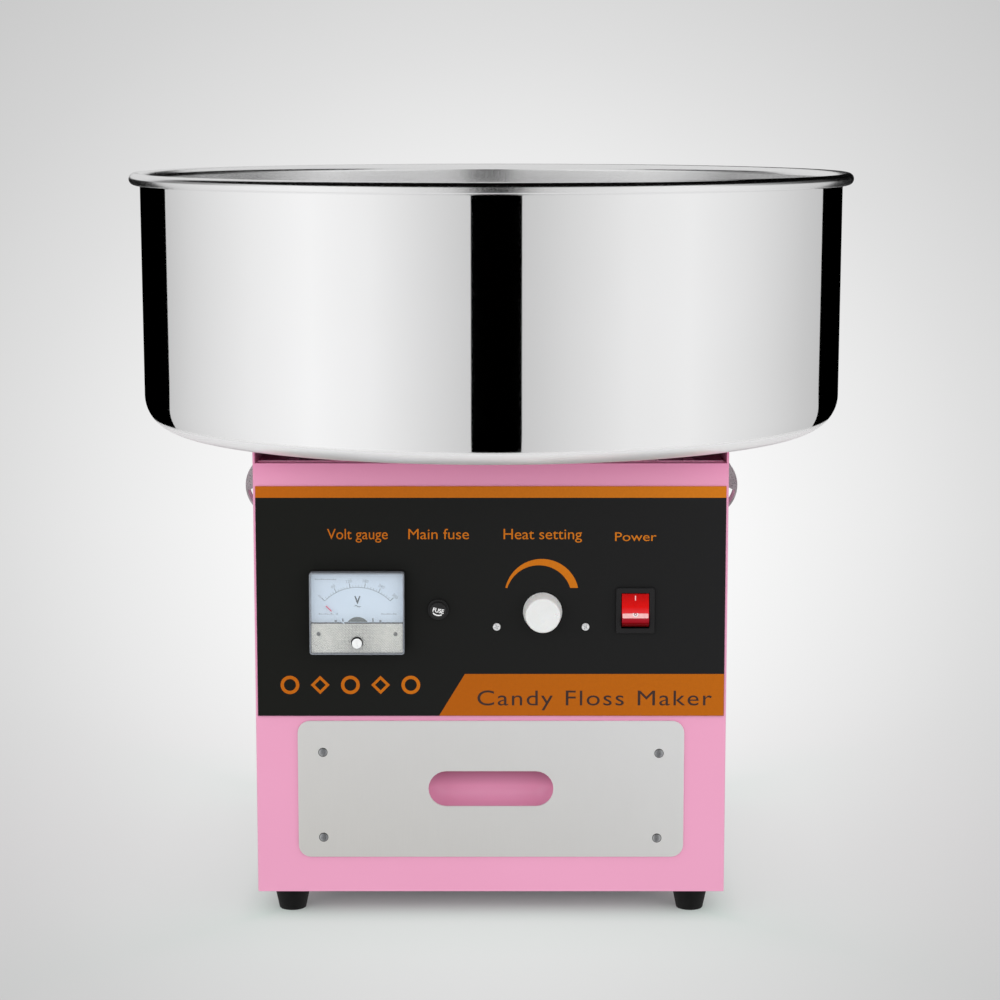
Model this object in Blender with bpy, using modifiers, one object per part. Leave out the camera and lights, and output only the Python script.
"""Cotton candy machine: a pink sheet-metal cabinet with a control panel and a drawer, a wide
stainless bowl held by two toggle latches, and a motor-driven spinner head.

Metres, +Z up, the front faces -Y. The origin is on the table, under the middle of the bowl.
"""
import math

import bmesh
import bpy
from mathutils import Matrix, Vector

# ---------------------------------------------------------------- driving dimensions

GAP = 0.0003                 # clearance left between neighbouring pieces
SHEET = 0.0015               # cabinet sheet

HALF = 0.1607                # half the cabinet's width and depth
FLOOR_Z = 0.0176             # underside of the cabinet
FRONT_TOP = 0.3156           # top of the front wall
SIDE_TOP = 0.3234            # top of the side walls, just under the bowl
LIP = 0.010                  # width of the folded top lips
FOLD_RADIUS = 0.0015

INSIDE = HALF - SHEET        # inner face of the walls
FIT = INSIDE - GAP           # what fits between the walls

BOWL_RIM_RADIUS = 0.260
BOWL_RADIUS = 0.2515
BOWL_SHEET = 0.0012
BOWL_BOTTOM = 0.3237
BOWL_CORNER = 0.0247
BOWL_HOLE = 0.0400
BEAD_RADIUS = 0.0042
BEAD_Z = 0.5025

FOOT_SPREAD = 0.1385
FOOT_TOP_RADIUS = 0.0127
FOOT_BASE_RADIUS = 0.0094

PANEL_HALF_WIDTH = 0.1590
PANEL_BOTTOM = 0.1418
PANEL_TOP = 0.3002
PANEL_THICKNESS = 0.0010
PANEL_BACK = -HALF - GAP
PANEL_FRONT = PANEL_BACK - PANEL_THICKNESS

SHELF_TOP = 0.1406           # the partition above the drawer

METER_X = -0.0905
METER_Z = 0.2146
METER_WIDTH = 0.0640
METER_HEIGHT = 0.0560
METER_CORNER = 0.0015
METER_BARREL = 0.0258        # radius of the case behind the panel
METER_BARREL_DEPTH = 0.0340
METER_FLANGE = 0.0030
METER_BACK = PANEL_FRONT - GAP
METER_SEAT = METER_BACK - METER_FLANGE - GAP
METER_FACE = PANEL_FRONT - 0.0110
METER_WALL = 0.0012
METER_PIVOT_Z = 0.1982
METER_ZERO_Z = 0.1945
DIAL_HALF_WIDTH = 0.0303
DIAL_BOTTOM = 0.2076
DIAL_TOP = 0.2396
DIAL_THICKNESS = 0.0005
NEEDLE_LENGTH = 0.0320
NEEDLE_REST = math.radians(45)

FUSE_X = -0.0357
FUSE_Z = 0.2160

KNOB_X = 0.0351
KNOB_Z = 0.2142
KNOB_BASE_RADIUS = 0.0133
KNOB_FACE_RADIUS = 0.0117
KNOB_HEIGHT = 0.0150
REGULATOR_HALF = (0.0200, 0.0225)    # half its width and height
REGULATOR_DEPTH = 0.0240
REGULATOR_FLANGE = (-0.0030, 0.0705, 0.0090)     # left end, right end and half its height
REGULATOR_SHAFT_RADIUS = 0.0030
SCREW_SPOTS = (("left", 0.0040), ("right", 0.0643))  # x of the screws that hold the regulator
SCREW_Z = 0.2038
SCREW_RADIUS = 0.0014
SCREW_HOLE_RADIUS = 0.0018
SCREW_HEAD_RADIUS = 0.0026
SCREW_HEAD_HEIGHT = 0.0016

SWITCH_X = 0.0980
SWITCH_Z = 0.2152
BEZEL_WIDTH = 0.0260
BEZEL_HEIGHT = 0.0311
BEZEL_PROUD = 0.0020
ROCKER_HALF_WIDTH = 0.00925
ROCKER_TILT = math.radians(9.5)
ROCKER_DEPTH = 0.0053        # rocker axis behind the bezel's front

DRAWER_HALF = 0.1225
DRAWER_BOTTOM = 0.0490
DRAWER_TOP = 0.1325
DRAWER_SIDE_TOP = 0.1150
DRAWER_BACK = 0.1050
DRAWER_FRONT = -HALF + 0.0002
DRAWER_GAP = 0.0015
CUP_DEPTH = 0.0190
CUP_MARGIN = 0.0020          # the cup's room past the slot in the plate, all round
PLATE_HALF_WIDTH = 0.1322
PLATE_BOTTOM = 0.0425
PLATE_TOP = 0.1383
PLATE_CORNER = 0.0085
PLATE_THICKNESS = 0.0012
SLOT_LENGTH = 0.0856
SLOT_HEIGHT = 0.0245
SLOT_Z = 0.0907

GLAND = (-0.110, 0.065)      # x and z of the cord gland in the rear panel
GLAND_HOLE = 0.0083
LOUVRE_COLUMNS = (-0.070, 0.070)
LOUVRE_ROWS = 7
LOUVRE_PITCH = 0.016
LOUVRE_BOTTOM = 0.180

LATCH_PIVOT = (0.1690, 0.2900)       # x and z of the lever's axis on the right side
LATCH_ARM = 0.0070                   # from the lever's axis to the bail's axis
LATCH_OVER_CENTRE = math.radians(12)
LATCH_HOOK = (0.1720, 0.3075)        # x and z of the bail's cross bar
LATCH_EAR = (0.0100, 0.0112)         # distances from the latch's middle, along Y
LATCH_CHEEK = (0.0080, 0.0092)
BAIL_HALF = 0.0058
WIRE_RADIUS = 0.0010
LEVER_CENTRE = (0.1560, 0.2790)      # centre of the lever's bowed outline
LEVER_RADIUS = 0.0240
LEVER_PLATE = 0.0013

SHAFT_RADIUS = 0.0050
SHAFT_BOTTOM = 0.1560
SHAFT_TOP = 0.4290
MOTOR_RADIUS = 0.0460
MOTOR_BOTTOM = 0.1780
MOTOR_TOP = 0.2920
DECK_TOP = FRONT_TOP - SHEET - GAP
DECK_HOLE = 0.0190
NECK_RADIUS = 0.0380
NECK_TOP = 0.3920
HEAD_RADIUS = 0.0600
HEAD_BOTTOM = 0.3960
HEAD_FLOOR = 0.4035
HEAD_TOP = 0.4480
SCREEN_SLOTS = 36

BOWL_STEPS = 48
ROUND_STEPS = 28
SMALL_STEPS = 16

# colour (linear), roughness and metallic value of each finish
FINISHES = {
    "pink_paint": ((0.78, 0.35, 0.51), 0.35, 0.0),
    "polished_steel": ((0.80, 0.80, 0.80), 0.06, 1.0),
    "satin_steel": ((0.62, 0.61, 0.59), 0.35, 1.0),
    "zinc_steel": ((0.55, 0.55, 0.56), 0.40, 1.0),
    "black_film": ((0.012, 0.012, 0.012), 0.35, 0.0),
    "black_plastic": ((0.02, 0.02, 0.02), 0.45, 0.0),
    "grey_plastic": ((0.05, 0.05, 0.055), 0.45, 0.0),
    "white_plastic": ((0.85, 0.85, 0.85), 0.30, 0.0),
    "red_plastic": ((0.55, 0.003, 0.005), 0.20, 0.0),
    "clear_plastic": ((0.85, 0.90, 0.92), 0.05, 0.0),
    "dial_card": ((0.60, 0.68, 0.78), 0.60, 0.0),
    "rubber": ((0.015, 0.015, 0.015), 0.80, 0.0),
    "aluminium": ((0.72, 0.72, 0.73), 0.35, 1.0),
    "brass": ((0.70, 0.50, 0.20), 0.30, 1.0),
    "carbon": ((0.03, 0.03, 0.03), 0.70, 0.0),
    "ceramic": ((0.75, 0.72, 0.66), 0.60, 0.0),
    "glass": ((0.85, 0.90, 0.90), 0.05, 0.0),
}

TOP_VIEW = (0.0, 0.0, 0.0)                       # outline lies in XY, thickness along Z
FRONT_VIEW = (math.pi / 2, 0.0, 0.0)             # outline lies in XZ, thickness along Y
SIDE_VIEW = (math.pi / 2, 0.0, math.pi / 2)      # outline lies in YZ, thickness along X


# ---------------------------------------------------------------- scene and collections

def clear_scene():
    for item in list(bpy.data.objects):
        bpy.data.objects.remove(item, do_unlink=True)


def make_collection(name):
    group = bpy.data.collections.new(name)
    bpy.context.scene.collection.children.link(group)
    return group


clear_scene()
PARTS = make_collection("cotton_candy_machine")
CUTTERS = make_collection("cutters")


def apply_finish(obj, finish):
    colour, roughness, metallic = FINISHES[finish]
    material = bpy.data.materials.new(obj.name + "_" + finish)
    material.use_nodes = True
    shader = material.node_tree.nodes["Principled BSDF"]
    shader.inputs["Base Color"].default_value = (*colour, 1.0)
    shader.inputs["Roughness"].default_value = roughness
    shader.inputs["Metallic"].default_value = metallic
    obj.data.materials.append(material)


def place(name, data, origin, finish, rotation=TOP_VIEW):
    """Link an object: a piece when it has a finish, otherwise a cutter or a joining shape."""
    obj = bpy.data.objects.new(name, data)
    obj.location = origin
    obj.rotation_euler = rotation
    if finish:
        PARTS.objects.link(obj)
        apply_finish(obj, finish)
    else:
        CUTTERS.objects.link(obj)
        obj.hide_render = True
        obj.display_type = "WIRE"
    return obj


# ---------------------------------------------------------------- outlines

def arc(centre, radius, start, end, steps):
    """Points on an arc, with its angles in degrees."""
    points = []
    for step in range(steps + 1):
        angle = math.radians(start + (end - start) * step / steps)
        points.append((centre[0] + radius * math.cos(angle), centre[1] + radius * math.sin(angle)))
    return points


def circle(centre, radius, steps=SMALL_STEPS):
    return arc(centre, radius, 0, 360 * (steps - 1) / steps, steps - 1)


def rounded_rectangle(low, high, radius, steps=5):
    left, bottom = low[0] + radius, low[1] + radius
    right, top = high[0] - radius, high[1] - radius
    points = arc((right, top), radius, 0, 90, steps)
    points += arc((left, top), radius, 90, 180, steps)
    points += arc((left, bottom), radius, 180, 270, steps)
    points += arc((right, bottom), radius, 270, 360, steps)
    return points


def rectangle(low, high):
    return [(low[0], low[1]), (high[0], low[1]), (high[0], high[1]), (low[0], high[1])]


def slot_outline(centre, length, height, steps=8):
    """A slot with full-round ends, longer along the first axis."""
    reach = (length - height) / 2
    points = arc((centre[0] + reach, centre[1]), height / 2, -90, 90, steps)
    points += arc((centre[0] - reach, centre[1]), height / 2, 90, 270, steps)
    return points


# ---------------------------------------------------------------- modelling tools

def mesh_from(shape, name):
    mesh = bpy.data.meshes.new(name)
    shape.to_mesh(mesh)
    shape.free()
    return mesh


def box(name, low, high, finish=None):
    low, high = Vector(low), Vector(high)
    shape = bmesh.new()
    bmesh.ops.create_cube(shape, size=1.0)
    bmesh.ops.scale(shape, vec=high - low, verts=shape.verts)
    bmesh.ops.translate(shape, vec=(low + high) / 2, verts=shape.verts)
    return place(name, mesh_from(shape, name), (0, 0, 0), finish)


def smooth(obj):
    obj.data.shade_smooth()
    obj.data.set_sharp_from_angle(angle=math.radians(35))


def rod(name, radius, start, end, finish=None, steps=SMALL_STEPS, end_radius=None):
    """A cylinder or cone between two points. Its origin is at its start."""
    start, end = Vector(start), Vector(end)
    length = (end - start).length
    turn = Vector((0, 0, 1)).rotation_difference(end - start).to_matrix().to_4x4()
    middle = Matrix.Translation((end - start) / 2)
    shape = bmesh.new()
    bmesh.ops.create_cone(
        shape, cap_ends=True, segments=steps, depth=length, matrix=middle @ turn,
        radius1=radius, radius2=radius if end_radius is None else end_radius)
    obj = place(name, mesh_from(shape, name), start, finish)
    smooth(obj)
    return obj


def turned(name, outline, finish=None, origin=(0.0, 0.0, 0.0), rotation=TOP_VIEW, steps=ROUND_STEPS):
    """A closed outline of (radius, height), down its outer side first, turned about local Z."""
    shape = bmesh.new()
    verts = [shape.verts.new((radius, 0.0, height)) for radius, height in outline]
    for index, vert in enumerate(verts):
        shape.edges.new((vert, verts[(index + 1) % len(verts)]))
    obj = place(name, mesh_from(shape, name), origin, finish, rotation)
    screw = obj.modifiers.new("turn", "SCREW")
    screw.axis = "Z"
    screw.angle = math.tau
    screw.steps = steps
    screw.render_steps = steps
    screw.use_merge_vertices = True
    screw.merge_threshold = 0.00002
    screw.use_smooth_shade = True
    return obj


def tube_outline(inner, outer, bottom, top):
    return [(outer, top), (outer, bottom), (inner, bottom), (inner, top)]


def outline_curve(name, outlines, thickness):
    curve = bpy.data.curves.new(name, "CURVE")
    curve.dimensions = "2D"
    curve.fill_mode = "BOTH"
    curve.extrude = thickness / 2
    for outline in outlines:
        spline = curve.splines.new("POLY")
        spline.points.add(len(outline) - 1)
        for point, (across, along) in zip(spline.points, outline):
            point.co = (across, along, 0.0, 1.0)
        spline.use_cyclic_u = True
    return curve


def plate(name, outlines, thickness, origin, finish, rotation=TOP_VIEW):
    """A flat plate with its holes, centred on its origin through its thickness."""
    return place(name, outline_curve(name, outlines, thickness), origin, finish, rotation)


def block(name, outlines, thickness, origin, finish=None, rotation=TOP_VIEW):
    """The same as plate, but as a mesh, so that it can be cut or joined."""
    curve = outline_curve(name, outlines, thickness)
    guide = bpy.data.objects.new(name + "_outline", curve)
    CUTTERS.objects.link(guide)
    bpy.context.view_layer.update()
    mesh = bpy.data.meshes.new_from_object(guide.evaluated_get(bpy.context.evaluated_depsgraph_get()))
    bpy.data.objects.remove(guide, do_unlink=True)
    bpy.data.curves.remove(curve)
    shape = bmesh.new()
    shape.from_mesh(mesh)
    bmesh.ops.remove_doubles(shape, verts=shape.verts, dist=0.00001)
    bpy.data.meshes.remove(mesh)
    return place(name, mesh_from(shape, name), origin, finish, rotation)


def wire(name, points, radius, finish, origin):
    curve = bpy.data.curves.new(name, "CURVE")
    curve.dimensions = "3D"
    curve.bevel_depth = radius
    curve.bevel_resolution = 2
    curve.use_fill_caps = True
    spline = curve.splines.new("POLY")
    spline.points.add(len(points) - 1)
    for point, spot in zip(spline.points, points):
        point.co = (*(Vector(spot) - Vector(origin)), 1.0)
    return place(name, curve, origin, finish)


def combine(target, *tools, operation="DIFFERENCE"):
    for tool in tools:
        modifier = target.modifiers.new(tool.name, "BOOLEAN")
        modifier.operation = operation
        modifier.solver = "EXACT"
        modifier.object = tool


def joint_axis(name, location, pieces):
    """An empty on a joint's axis that carries the pieces which move about it."""
    empty = bpy.data.objects.new(name, None)
    empty.empty_display_size = 0.02
    empty.location = location
    PARTS.objects.link(empty)
    bpy.context.view_layer.update()
    for piece in pieces:
        piece.parent = empty
        piece.matrix_parent_inverse = empty.matrix_world.inverted()


# ---------------------------------------------------------------- cabinet

def cabinet_wrap():
    """Front and side walls folded from one sheet, open at the back, the top and the bottom."""
    corner = HALF - FOLD_RADIUS
    outline = [(HALF, FIT), (-HALF, FIT)]
    outline += arc((-corner, -corner), FOLD_RADIUS, 180, 270, 3)
    outline += arc((corner, -corner), FOLD_RADIUS, 270, 360, 3)
    height = SIDE_TOP - FLOOR_Z
    wrap = block("cabinet_wrap", [outline], height, (0, 0, FLOOR_Z + height / 2), "pink_paint")
    lip = HALF - LIP
    far = 4 * HALF
    combine(
        wrap,
        box("wrap_room", (-INSIDE, -lip, -far), (INSIDE, far, SIDE_TOP - SHEET)),
        box("wrap_front_room", (-INSIDE, -INSIDE, -far), (INSIDE, -lip + GAP, FRONT_TOP - SHEET)),
        box("wrap_top_opening", (-lip, -lip, FRONT_TOP), (lip, far, far)),
        box("wrap_front_step", (-INSIDE, -far, FRONT_TOP), (INSIDE, -lip + GAP, far)),
        box("wrap_drawer_opening",
            (-DRAWER_HALF - DRAWER_GAP, -far, DRAWER_BOTTOM - DRAWER_GAP),
            (DRAWER_HALF + DRAWER_GAP, -lip, DRAWER_TOP + DRAWER_GAP)),
        block("wrap_switch_hole", [switch_hole()], 0.02, (0, -HALF, 0), rotation=FRONT_VIEW),
        *[rod("wrap_hole_" + name, radius, (x, -HALF - 0.01, z), (x, -HALF + 0.01, z), steps=32)
          for name, x, z, radius in round_panel_holes()])
    return wrap


def switch_hole():
    return rectangle((SWITCH_X - 0.0113, SWITCH_Z - 0.0137), (SWITCH_X + 0.0113, SWITCH_Z + 0.0137))


def round_panel_holes():
    """Name, x, z and radius of the round holes through the front wall and the overlay."""
    return [
        ("meter", METER_X, METER_Z, 0.0263),
        ("fuse", FUSE_X, FUSE_Z, 0.0063),
        ("regulator", KNOB_X, KNOB_Z, 0.0050),
    ] + [("screw_" + hand, x, SCREW_Z, SCREW_HOLE_RADIUS) for hand, x in SCREW_SPOTS]


def control_panel():
    outlines = [rectangle((-PANEL_HALF_WIDTH, PANEL_BOTTOM), (PANEL_HALF_WIDTH, PANEL_TOP)), switch_hole()]
    outlines += [circle((x, z), radius, 32) for _, x, z, radius in round_panel_holes()]
    middle = (PANEL_FRONT + PANEL_BACK) / 2
    plate("control_panel", outlines, PANEL_THICKNESS, (0, middle, 0), "black_film", FRONT_VIEW)


def base_plate():
    """A shallow tray that closes the cabinet's underside."""
    rim = FLOOR_Z + 0.015
    tray = box("base_plate", (-FIT, -FIT, FLOOR_Z), (FIT, FIT, rim), "pink_paint")
    room = FIT - SHEET
    combine(tray, box("base_room", (-room, -room, FLOOR_Z + SHEET), (room, room, 2 * rim)))


def rear_panel():
    """The back cover, with two columns of cooling slots and the hole for the cord gland."""
    outlines = [rectangle((-HALF, FLOOR_Z), (HALF, SIDE_TOP))]
    for column in LOUVRE_COLUMNS:
        for row in range(LOUVRE_ROWS):
            outlines.append(slot_outline((column, LOUVRE_BOTTOM + LOUVRE_PITCH * row), 0.090, 0.005, 4))
    outlines.append(circle(GLAND, GLAND_HOLE))
    plate("rear_panel", outlines, SHEET, (0, HALF - SHEET / 2, 0), "pink_paint", FRONT_VIEW)


def cord_gland():
    """The inlet in the rear panel: a flange outside and a barrel through the hole."""
    outline = [(0.0110, 0.0120), (0.0120, 0.0100), (0.0120, 0.0), (0.0080, 0.0), (0.0080, -0.0140),
               (0.0045, -0.0140), (0.0045, 0.0120)]
    turned("cord_gland", outline, "black_plastic", (GLAND[0], HALF + GAP, GLAND[1]),
           (-math.pi / 2, 0, 0), SMALL_STEPS)


def top_deck():
    """The recessed plate under the bowl, which carries the motor and the neck."""
    outlines = [rectangle((-FIT, -FIT), (FIT, FIT)), circle((0, 0), DECK_HOLE, 32)]
    tab_half = 0.0035
    for side in (-1, 1):
        tab = side * 0.1355
        outlines.append(rectangle((tab - tab_half, -0.1400), (tab + tab_half, -0.1200)))
        for row in (-1, 0, 1):
            outlines.append(slot_outline((side * 0.108, 0.02 * row), 0.050, 0.006, 4))
    plate("top_deck", outlines, SHEET, (0, 0, DECK_TOP - SHEET / 2), "pink_paint")


def drawer_shelf():
    """The partition between the drawer and the electrical space."""
    wire_hole = circle((0.110, 0.110), 0.010)
    outlines = [rectangle((-FIT, -FIT), (FIT, 0.140)), wire_hole]
    plate("drawer_shelf", outlines, SHEET, (0, 0, SHELF_TOP - SHEET / 2), "zinc_steel")


def feet():
    for depth, word in ((-1, "front"), (1, "rear")):
        for side, hand in ((-1, "left"), (1, "right")):
            spot = (side * FOOT_SPREAD, depth * FOOT_SPREAD, 0.0)
            top = (*spot[:2], FLOOR_Z - GAP)
            rod(f"foot_{word}_{hand}", FOOT_BASE_RADIUS, spot, top, "rubber", 24, FOOT_TOP_RADIUS)


# ---------------------------------------------------------------- voltmeter

def meter_corner(shrink=0.0):
    low = (METER_X - METER_WIDTH / 2 + shrink, METER_Z - METER_HEIGHT / 2 + shrink)
    high = (METER_X + METER_WIDTH / 2 - shrink, METER_Z + METER_HEIGHT / 2 - shrink)
    return low, high


def meter_case():
    """The moulded case: a square flange in front of the panel and a round barrel behind it."""
    flange = rounded_rectangle(*meter_corner(), METER_CORNER, 3)
    case = block("meter_case", [flange], METER_FLANGE, (0, METER_BACK - METER_FLANGE / 2, 0),
                 "black_plastic", FRONT_VIEW)
    barrel = rod("meter_barrel", METER_BARREL, (METER_X, METER_BACK - METER_FLANGE / 2, METER_Z),
                 (METER_X, METER_BACK + METER_BARREL_DEPTH, METER_Z), steps=32)
    combine(case, barrel, operation="UNION")


def meter_dial():
    card = rectangle((METER_X - DIAL_HALF_WIDTH, DIAL_BOTTOM), (METER_X + DIAL_HALF_WIDTH, DIAL_TOP))
    middle = METER_SEAT - DIAL_THICKNESS / 2
    plate("meter_dial", [card], DIAL_THICKNESS, (0, middle, 0), "dial_card", FRONT_VIEW)


def meter_needle():
    """The pointer at zero, up and to the left, with its hub on the movement's axis."""
    axis = (METER_X, METER_SEAT - 0.0016, METER_PIVOT_Z)
    hub_height = 0.0012
    needle = rod("meter_needle", 0.0022, axis, (METER_X, axis[1] - hub_height, METER_PIVOT_Z), "red_plastic")
    pointer = block("needle_pointer", [rectangle((-0.0004, 0.0), (0.0004, NEEDLE_LENGTH))], 0.0005,
                    (METER_X, axis[1] - hub_height / 2, METER_PIVOT_Z))
    pointer.rotation_euler = (
        Matrix.Rotation(-NEEDLE_REST, 3, "Y") @ Matrix.Rotation(math.pi / 2, 3, "X")).to_euler()
    combine(needle, pointer, operation="UNION")
    return needle


def meter_cover():
    """The clear moulded cover, open at the back."""
    depth = METER_SEAT - METER_FACE
    cover = block("meter_cover", [rounded_rectangle(*meter_corner(), METER_CORNER, 3)], depth,
                  (0, METER_SEAT - depth / 2, 0), "clear_plastic", FRONT_VIEW)
    low, high = meter_corner(METER_WALL)
    past = 0.005
    combine(
        cover,
        box("cover_room", (low[0], METER_FACE + METER_WALL, low[1]), (high[0], METER_SEAT + past, high[1])),
        rod("cover_screw_hole", 0.0016, (METER_X, METER_FACE - past, METER_ZERO_Z),
            (METER_X, METER_FACE + past, METER_ZERO_Z)))


def meter_zero_screw():
    front = METER_FACE - GAP
    outline = [(0.0034, 0.0012), (0.0034, 0.0), (0.0013, 0.0), (0.0013, -0.0025),
               (0.0004, -0.0025), (0.0004, 0.0012)]
    screw = turned("meter_zero_screw", outline, "white_plastic", (METER_X, front, METER_ZERO_Z),
                   (math.pi / 2, 0, 0), SMALL_STEPS)
    slot = ((METER_X - 0.0004, front - 0.002, METER_ZERO_Z - 0.005),
            (METER_X + 0.0004, front - 0.0006, METER_ZERO_Z + 0.005))
    combine(screw, box("zero_screw_slot", *slot))
    return screw


# ---------------------------------------------------------------- fuse, regulator and switch

def fuse_parts():
    """A panel fuse holder; its outlines run along the hole's axis, positive to the front."""
    front = (FUSE_X, PANEL_FRONT - GAP, FUSE_Z)
    facing = (math.pi / 2, 0, 0)
    holder = [(0.0070, 0.0020), (0.0070, 0.0), (0.0060, 0.0), (0.0060, -0.0330), (0.0015, -0.0330),
              (0.0015, -0.0300), (0.0042, -0.0300), (0.0042, 0.0020)]
    turned("fuse_holder", holder, "black_plastic", front, facing, SMALL_STEPS)
    cap = [(0.0050, 0.0053), (0.0055, 0.0048), (0.0055, 0.0023), (0.0038, 0.0023), (0.0038, -0.0060),
           (0.0004, -0.0060), (0.0004, 0.0053)]
    fuse_cap = turned("fuse_cap", cap, "black_plastic", front, facing, SMALL_STEPS)
    link_ends = [(FUSE_X, front[1] + depth, FUSE_Z) for depth in (0.0065, 0.0265)]
    rod("fuse_link", 0.0025, *link_ends, "glass")
    return fuse_cap


def regulator():
    """The power regulator behind the panel, its shaft and the knob."""
    axis = (KNOB_X, KNOB_Z)
    face = -INSIDE + GAP
    half_width, half_height = REGULATOR_HALF
    body = box("regulator_body", (axis[0] - half_width, face + 0.0005, axis[1] - half_height),
               (axis[0] + half_width, face + REGULATOR_DEPTH, axis[1] + half_height), "black_plastic")
    left, right, reach = REGULATOR_FLANGE
    flange = box("regulator_flange", (left, face, SCREW_Z - reach), (right, face + 0.002, SCREW_Z + reach))
    bushing = rod("regulator_bushing", 0.0046, (axis[0], face + 0.001, axis[1]),
                  (axis[0], PANEL_FRONT, axis[1]))
    combine(body, flange, bushing, operation="UNION")
    bore = REGULATOR_SHAFT_RADIUS + GAP
    past = 0.005
    combine(body, rod("regulator_bore", bore, (axis[0], PANEL_FRONT - past, axis[1]),
                      (axis[0], -INSIDE + 0.012, axis[1])))
    for hand, x in SCREW_SPOTS:
        combine(body, rod("flange_hole_" + hand, SCREW_HOLE_RADIUS, (x, face - past, SCREW_Z),
                          (x, face + past, SCREW_Z)))
    back = PANEL_FRONT - 0.0008
    front = back - KNOB_HEIGHT
    shaft = rod("regulator_shaft", REGULATOR_SHAFT_RADIUS, (axis[0], -INSIDE + 0.0117, axis[1]),
                (axis[0], front + 0.0033, axis[1]), "zinc_steel")
    outline = arc((KNOB_FACE_RADIUS - 0.0015, KNOB_HEIGHT - 0.0015), 0.0015, 90, 6, 4)
    outline += [(KNOB_BASE_RADIUS, 0.0), (bore, 0.0), (bore, KNOB_HEIGHT - 0.0030),
                (0.0004, KNOB_HEIGHT - 0.0030), (0.0004, KNOB_HEIGHT)]
    knob = turned("temperature_knob", outline, "white_plastic", (axis[0], back, axis[1]), (math.pi / 2, 0, 0))
    return [shaft, knob]


def regulator_screws():
    """The two pan-head screws through the panel and the front wall into the regulator's flange."""
    back = PANEL_FRONT - GAP
    for hand, x in SCREW_SPOTS:
        screw = rod("regulator_screw_" + hand, SCREW_HEAD_RADIUS, (x, back, SCREW_Z),
                    (x, back - SCREW_HEAD_HEIGHT, SCREW_Z), "zinc_steel", end_radius=0.0019)
        shank = rod("screw_shank_" + hand, SCREW_RADIUS, (x, back - SCREW_HEAD_HEIGHT / 2, SCREW_Z),
                    (x, -INSIDE + 0.0075, SCREW_Z))
        combine(screw, shank, operation="UNION")


def rocker_switch():
    front = PANEL_FRONT - GAP - BEZEL_PROUD
    bezel = rounded_rectangle((SWITCH_X - BEZEL_WIDTH / 2, SWITCH_Z - BEZEL_HEIGHT / 2),
                              (SWITCH_X + BEZEL_WIDTH / 2, SWITCH_Z + BEZEL_HEIGHT / 2), 0.0012, 3)
    housing = block("switch_housing", [bezel], BEZEL_PROUD, (0, front + BEZEL_PROUD / 2, 0),
                    "grey_plastic", FRONT_VIEW)
    body = box("switch_body", (SWITCH_X - 0.0110, front + 0.001, SWITCH_Z - 0.0134),
               (SWITCH_X + 0.0110, front + 0.027, SWITCH_Z + 0.0134))
    combine(housing, body, operation="UNION")
    combine(housing, box("switch_room", (SWITCH_X - 0.0096, front - 0.01, SWITCH_Z - 0.0121),
                         (SWITCH_X + 0.0096, front + 0.014, SWITCH_Z + 0.0121)))
    axis = (SWITCH_X, front + ROCKER_DEPTH, SWITCH_Z)
    # across Y (negative is forward) and along Z, with neither end pressed
    half = [(-0.0073, 0.0106), (-0.0010, 0.0114), (0.0035, 0.0075)]
    outline = [(-0.0058, 0.0)] + half + [(across, -along) for across, along in reversed(half)]
    rocker = block("switch_rocker", [outline], 2 * ROCKER_HALF_WIDTH, axis, "red_plastic")
    pressed_at_top = Matrix.Rotation(-ROCKER_TILT, 3, "X")
    upright = Matrix.Rotation(math.pi / 2, 3, "Z") @ Matrix.Rotation(math.pi / 2, 3, "X")
    rocker.rotation_euler = (pressed_at_top @ upright).to_euler()
    return rocker


# ---------------------------------------------------------------- drawer

def drawer():
    """The sugar drawer: a sheet box with a low back and sides, a finger cup and a steel front."""
    tray = box("drawer_box", (-DRAWER_HALF, DRAWER_FRONT, DRAWER_BOTTOM),
               (DRAWER_HALF, DRAWER_BACK, DRAWER_TOP), "pink_paint")
    wall = DRAWER_FRONT + SHEET
    room = DRAWER_HALF - SHEET
    past = 2 * DRAWER_HALF
    opening = slot_outline((0, SLOT_Z), SLOT_LENGTH + 2 * CUP_MARGIN, SLOT_HEIGHT + 2 * CUP_MARGIN)
    combine(
        tray,
        box("drawer_room", (-room, wall, DRAWER_BOTTOM + SHEET), (room, DRAWER_BACK - SHEET, past)),
        box("drawer_low_sides", (-past, wall, DRAWER_SIDE_TOP), (past, past, past)),
        block("drawer_cup_hole", [opening], CUP_DEPTH, (0, wall, 0), rotation=FRONT_VIEW))
    flange = CUP_MARGIN + 0.0025
    middle = wall + GAP + CUP_DEPTH / 2
    cup = block("finger_cup", [slot_outline((0, SLOT_Z), SLOT_LENGTH + 2 * flange, SLOT_HEIGHT + 2 * flange)],
                CUP_DEPTH, (0, middle, 0), "pink_paint", FRONT_VIEW)
    combine(cup, block("cup_room", [opening], CUP_DEPTH, (0, middle - SHEET, 0), rotation=FRONT_VIEW))
    outlines = [
        rounded_rectangle((-PLATE_HALF_WIDTH, PLATE_BOTTOM), (PLATE_HALF_WIDTH, PLATE_TOP), PLATE_CORNER, 6),
        slot_outline((0, SLOT_Z), SLOT_LENGTH, SLOT_HEIGHT, 12),
    ]
    front = plate("drawer_front_plate", outlines, PLATE_THICKNESS, (0, PANEL_BACK - PLATE_THICKNESS / 2, 0),
                  "satin_steel", FRONT_VIEW)
    return [tray, cup, front]


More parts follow.
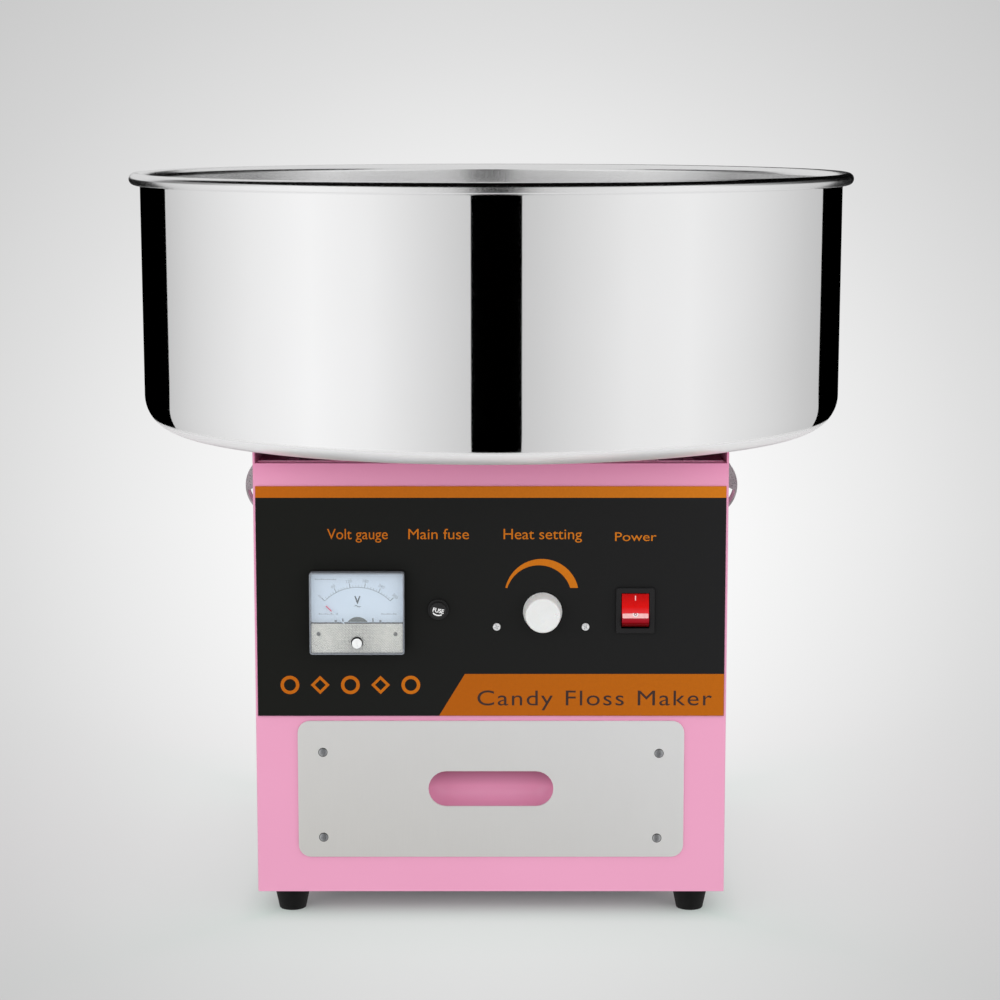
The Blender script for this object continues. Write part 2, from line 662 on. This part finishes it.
def drawer_rails():
    """Z-shaped rails from the base tray to the drawer's underside."""
    top = DRAWER_BOTTOM - GAP
    bottom = FLOOR_Z + SHEET + GAP
    web = DRAWER_HALF - 0.0005
    inner, outer = 0.098, 0.138
    front, back = -0.157, 0.120
    for side, hand in ((-1, "left"), (1, "right")):
        outline = [(inner, top), (web, top), (web, bottom + SHEET), (outer, bottom + SHEET),
                   (outer, bottom), (web - SHEET, bottom), (web - SHEET, top - SHEET), (inner, top - SHEET)]
        outline = [(side * across, height) for across, height in outline]
        middle = (0, (front + back) / 2, 0)
        plate(f"drawer_rail_{hand}", [outline], back - front, middle, "zinc_steel", FRONT_VIEW)


# ---------------------------------------------------------------- latches

def latch(side, hand):
    """A toggle latch on one side wall, closed: base, lever, wire bail, and the bowl's catch."""
    def across(points):
        return [(side * x, z) for x, z in points]

    def pair(name, outlines, distances):
        near, far = distances
        reach = (near + far) / 2
        return [block(f"{name}_{word}", outlines, far - near, (0, way * reach, 0), rotation=FRONT_VIEW)
                for way, word in ((-1, "front"), (1, "rear"))]

    wall = HALF + GAP
    face = wall + 0.0012
    pivot = (side * LATCH_PIVOT[0], LATCH_PIVOT[1])
    hook = (side * LATCH_HOOK[0], LATCH_HOOK[1])
    bail_axis = (side * (LATCH_PIVOT[0] - LATCH_ARM * math.sin(LATCH_OVER_CENTRE)),
                 LATCH_PIVOT[1] - LATCH_ARM * math.cos(LATCH_OVER_CENTRE))

    base = block(f"latch_base_{hand}", [across(rectangle((wall, 0.2580), (face, 0.2980)))],
                 2 * LATCH_EAR[1], (0, 0, 0), "zinc_steel", FRONT_VIEW)
    ear = across([(wall, 0.2830), (0.1715, 0.2850), (0.1725, 0.2870), (0.1725, 0.2935), (0.1700, 0.2960),
                  (wall, 0.2975)])
    combine(base, *pair(f"ears_{hand}", [ear], LATCH_EAR), operation="UNION")
    combine(base, rod(f"ear_bore_{hand}", 0.0017, (pivot[0], -0.02, pivot[1]), (pivot[0], 0.02, pivot[1])))

    cheek = arc(LEVER_CENTRE, LEVER_RADIUS, 40, -65, 14)
    cheek += arc(LEVER_CENTRE, LEVER_RADIUS - LEVER_PLATE, -65, -10, 8)
    cheek += [(0.1700, 0.2790), (0.1650, 0.2795), (0.1648, 0.2900), (0.1662, 0.2935)]
    strip = arc(LEVER_CENTRE, LEVER_RADIUS - 0.0002, 5, -64, 10)
    strip += arc(LEVER_CENTRE, LEVER_RADIUS - LEVER_PLATE + 0.0002, -64, 5, 10)
    origin = (pivot[0], 0.0, pivot[1])
    shift = [(x - LATCH_PIVOT[0], z - LATCH_PIVOT[1]) for x, z in strip]
    lever = block(f"latch_lever_{hand}", [across(shift)], 2 * LATCH_CHEEK[0] + 0.0008, origin,
                  "polished_steel", FRONT_VIEW)
    combine(lever, *pair(f"cheeks_{hand}", [across(cheek)], LATCH_CHEEK), operation="UNION")
    for way, word in ((-1, "front"), (1, "rear")):
        stub = rod(f"lever_stub_{hand}_{word}", 0.0014, (pivot[0], way * 0.0085, pivot[1]),
                   (pivot[0], way * LATCH_EAR[1], pivot[1]))
        combine(lever, stub, operation="UNION")
    combine(lever, rod(f"bail_bore_{hand}", WIRE_RADIUS + GAP, (bail_axis[0], -0.0098, bail_axis[1]),
                       (bail_axis[0], 0.0098, bail_axis[1])))

    tip = LATCH_CHEEK[1] - 0.0001
    route = [(*bail_axis, -tip), (*bail_axis, -BAIL_HALF), (*hook, -BAIL_HALF),
             (*hook, BAIL_HALF), (*bail_axis, BAIL_HALF), (*bail_axis, tip)]
    bail = wire(f"latch_bail_{hand}", [(x, y, z) for x, z, y in route], WIRE_RADIUS, "zinc_steel",
                (bail_axis[0], 0.0, bail_axis[1]))

    shelf = LATCH_HOOK[1] - WIRE_RADIUS - GAP
    roof = BOWL_BOTTOM - GAP
    catch = [(0.1665, roof), (0.1665, shelf - SHEET), (0.1757, shelf - SHEET), (0.1757, shelf + 0.0026),
             (0.1742, shelf + 0.0026), (0.1742, shelf), (0.1680, shelf), (0.1680, roof - SHEET),
             (0.1850, roof - SHEET), (0.1850, roof)]
    plate(f"latch_catch_{hand}", [across(catch)], 0.0080, (0, 0, 0), "zinc_steel", FRONT_VIEW)
    joint_axis(f"latch_axis_{hand}", origin, [lever])
    joint_axis(f"bail_axis_{hand}", (bail_axis[0], 0.0, bail_axis[1]), [bail])


# ---------------------------------------------------------------- bowl

def bowl():
    """A spun bowl with a rounded bottom corner and a rim rolled outwards over a bead."""
    bead = (BOWL_RIM_RADIUS - BEAD_RADIUS, BEAD_Z)
    corner = (BOWL_RADIUS - BOWL_CORNER, BOWL_BOTTOM + BOWL_CORNER)
    inner = BOWL_RADIUS - BOWL_SHEET
    floor = BOWL_BOTTOM + BOWL_SHEET
    outline = arc(bead, BEAD_RADIUS, 90, -150, 8)
    outline += arc(corner, BOWL_CORNER, 0, -90, 4)
    outline += [(BOWL_HOLE, BOWL_BOTTOM), (BOWL_HOLE, floor)]
    outline += arc(corner, BOWL_CORNER - BOWL_SHEET, -90, 0, 4)
    outline += [(inner, BEAD_Z), (inner + 0.0012, BEAD_Z + 0.0027), (inner + 0.0032, BEAD_Z + 0.0039)]
    turned("bowl", outline, "polished_steel", steps=BOWL_STEPS)


def neck_and_gasket():
    top = NECK_TOP
    outline = [(NECK_RADIUS - 0.004, top), (NECK_RADIUS, top - 0.004), (NECK_RADIUS, DECK_TOP + GAP + SHEET),
               (NECK_RADIUS + 0.010, DECK_TOP + GAP + SHEET), (NECK_RADIUS + 0.010, DECK_TOP + GAP),
               (NECK_RADIUS - SHEET, DECK_TOP + GAP), (NECK_RADIUS - SHEET, top - 0.005),
               (NECK_RADIUS - 0.0046, top - SHEET), (0.028, top - SHEET), (0.028, top)]
    turned("neck_tube", outline, "aluminium")
    turned("bowl_gasket", tube_outline(0.0500, 0.0600, DECK_TOP + GAP, BOWL_BOTTOM - GAP), "rubber")


# ---------------------------------------------------------------- motor

def motor():
    """The motor under the deck: housing, bracket, and the turning shaft, rotor and fan."""
    bore = SHAFT_RADIUS + 0.0006
    wall, cap = 0.002, 0.004
    housing = [(MOTOR_RADIUS - 0.004, MOTOR_TOP), (MOTOR_RADIUS, MOTOR_TOP - 0.004),
               (MOTOR_RADIUS, MOTOR_BOTTOM + 0.004), (MOTOR_RADIUS - 0.004, MOTOR_BOTTOM),
               (bore, MOTOR_BOTTOM), (bore, MOTOR_BOTTOM + cap), (MOTOR_RADIUS - 0.005, MOTOR_BOTTOM + cap),
               (MOTOR_RADIUS - wall, MOTOR_BOTTOM + 0.007), (MOTOR_RADIUS - wall, MOTOR_TOP - 0.007),
               (MOTOR_RADIUS - 0.005, MOTOR_TOP - cap), (bore, MOTOR_TOP - cap), (bore, MOTOR_TOP)]
    turned("motor_housing", housing, "aluminium")

    low = MOTOR_TOP + GAP
    high = DECK_TOP - SHEET - GAP
    metal = 0.0025
    hat = [(-0.092, high - metal), (-0.092, high), (-0.070, high), (-0.070, low + metal),
           (0.070, low + metal), (0.070, high), (0.092, high), (0.092, high - metal),
           (0.070 + metal, high - metal), (0.070 + metal, low), (-0.070 - metal, low),
           (-0.070 - metal, high - metal)]
    bracket = block("motor_bracket", [hat], 0.050, (0, 0, 0), "zinc_steel", FRONT_VIEW)
    combine(bracket, rod("bracket_bore", 0.012, (0, 0, low - 0.01), (0, 0, high)))

    shaft = rod("motor_shaft", SHAFT_RADIUS, (0, 0, SHAFT_BOTTOM), (0, 0, SHAFT_TOP), "zinc_steel", 24)
    grip = SHAFT_RADIUS + GAP
    rotor = turned("motor_rotor", tube_outline(grip, 0.034, 0.196, 0.270), "zinc_steel")
    fan = turned("cooling_fan", tube_outline(grip, 0.012, 0.1590, 0.1730), "black_plastic", steps=24)
    blades = 6
    for index in range(blades):
        blade = box(f"fan_blade_{index}", (0.010, -0.0008, -0.0055), (0.042, 0.0008, 0.0055))
        blade.location = (0, 0, 0.1660)
        turn = Matrix.Rotation(math.tau * index / blades, 3, "Z") @ Matrix.Rotation(math.radians(35), 3, "X")
        blade.rotation_euler = turn.to_euler()
        combine(fan, blade, operation="UNION")
    return [shaft, rotor, fan]


def slip_rings():
    """Two brass rings on an insulating hub, fed by carbon brushes in a fixed holder."""
    grip = SHAFT_RADIUS + GAP
    hub = turned("slip_ring_hub", tube_outline(grip, 0.0140, 0.3300, 0.3720), "ceramic", steps=24)
    turning = [hub]
    low, high = (0.0215, -0.0080, DECK_TOP + GAP), (0.0345, 0.0080, 0.3720)
    holder = box("brush_holder", low, high, "ceramic")
    for word, middle in (("lower", 0.3400), ("upper", 0.3620)):
        ring = tube_outline(0.0143, 0.0180, middle - 0.005, middle + 0.005)
        turning.append(turned(f"slip_ring_{word}", ring, "brass", steps=32))
        combine(holder, rod(f"brush_bore_{word}", 0.0032, (0.015, 0, middle), (0.040, 0, middle)))
        rod(f"brush_{word}", 0.0029, (0.0183, 0, middle), (0.0300, 0, middle), "carbon", 16)
    return turning


# ---------------------------------------------------------------- spinner head

def spinner_head():
    """The head: base dish, heater, slotted screen, cover with the sugar mouth, and its nut."""
    grip = SHAFT_RADIUS + GAP
    rim = HEAD_FLOOR + 0.004
    base = [(HEAD_RADIUS, rim), (HEAD_RADIUS, HEAD_FLOOR - 0.0045), (0.015, HEAD_BOTTOM), (grip, HEAD_BOTTOM),
            (grip, 0.4170), (0.0110, 0.4170), (0.0125, HEAD_FLOOR), (HEAD_RADIUS - 0.003, HEAD_FLOOR),
            (HEAD_RADIUS - 0.003, rim)]
    pieces = [turned("head_base", base, "aluminium")]
    seat = HEAD_FLOOR + GAP
    pieces.append(turned("heater_ring", tube_outline(0.0470, 0.0520, seat, 0.4300), "ceramic"))

    screen = turned("head_screen", tube_outline(0.0545, 0.0560, seat, 0.4330), "polished_steel", steps=36)
    slots = bmesh.new()
    for index in range(SCREEN_SLOTS):
        angle = math.tau * (index + 0.5) / SCREEN_SLOTS
        spot = Matrix.Rotation(angle, 4, "Z") @ Matrix.Translation((0.0550, 0, 0.4180))
        bmesh.ops.create_cube(slots, size=1.0, matrix=spot @ Matrix.Diagonal((0.006, 0.0022, 0.0150, 1)))
    combine(screen, place("screen_slots", mesh_from(slots, "screen_slots"), (0, 0, 0), None))
    pieces.append(screen)

    lid = 0.4333
    cover = [(0.0190, HEAD_TOP), (0.0205, HEAD_TOP - 0.0010), (0.0230, lid + 0.0030), (0.0560, lid + 0.0020),
             (HEAD_RADIUS + 0.001, lid), (HEAD_RADIUS + 0.001, lid - 0.0090),
             (HEAD_RADIUS - 0.0005, lid - 0.0090), (HEAD_RADIUS - 0.0005, lid), (0.0205, lid),
             (0.0175, HEAD_TOP)]
    pieces.append(turned("head_cover", cover, "aluminium"))
    nut = rod("head_nut", 0.0092, (0, 0, 0.4173), (0, 0, 0.4265), "polished_steel", 6)
    combine(nut, rod("nut_bore", grip, (0, 0, 0.410), (0, 0, 0.435)))
    pieces.append(nut)
    return pieces


def terminal_block():
    """The screw terminals of the supply, on the shelf near the cord gland."""
    floor = SHELF_TOP + GAP
    left, right, height = -0.130, -0.080, 0.016
    body = box("terminal_block", (left, 0.100, floor), (right, 0.120, floor + height), "white_plastic")
    poles = 4
    for index in range(1, poles):
        x = left + (right - left) * index / poles
        groove_low = (x - 0.001, 0.090, floor + height / 2)
        groove_high = (x + 0.001, 0.130, floor + 2 * height)
        combine(body, box(f"terminal_groove_{index}", groove_low, groove_high))


# ---------------------------------------------------------------- assembly

def build():
    cabinet_wrap()
    base_plate()
    rear_panel()
    cord_gland()
    top_deck()
    drawer_shelf()
    feet()
    control_panel()
    meter_case()
    meter_dial()
    meter_cover()
    joint_axis("needle_axis", (METER_X, METER_SEAT, METER_PIVOT_Z), [meter_needle()])
    joint_axis("zero_screw_axis", (METER_X, METER_FACE, METER_ZERO_Z), [meter_zero_screw()])
    joint_axis("fuse_axis", (FUSE_X, PANEL_FRONT, FUSE_Z), [fuse_parts()])
    joint_axis("knob_axis", (KNOB_X, PANEL_FRONT, KNOB_Z), regulator())
    regulator_screws()
    rocker = rocker_switch()
    joint_axis("rocker_axis", rocker.location, [rocker])
    joint_axis("drawer_axis", (0, -HALF, DRAWER_BOTTOM), drawer())
    drawer_rails()
    latch(-1, "left")
    latch(1, "right")
    bowl()
    neck_and_gasket()
    terminal_block()
    joint_axis("head_spin_axis", (0, 0, HEAD_BOTTOM), motor() + slip_rings() + spinner_head())


build()
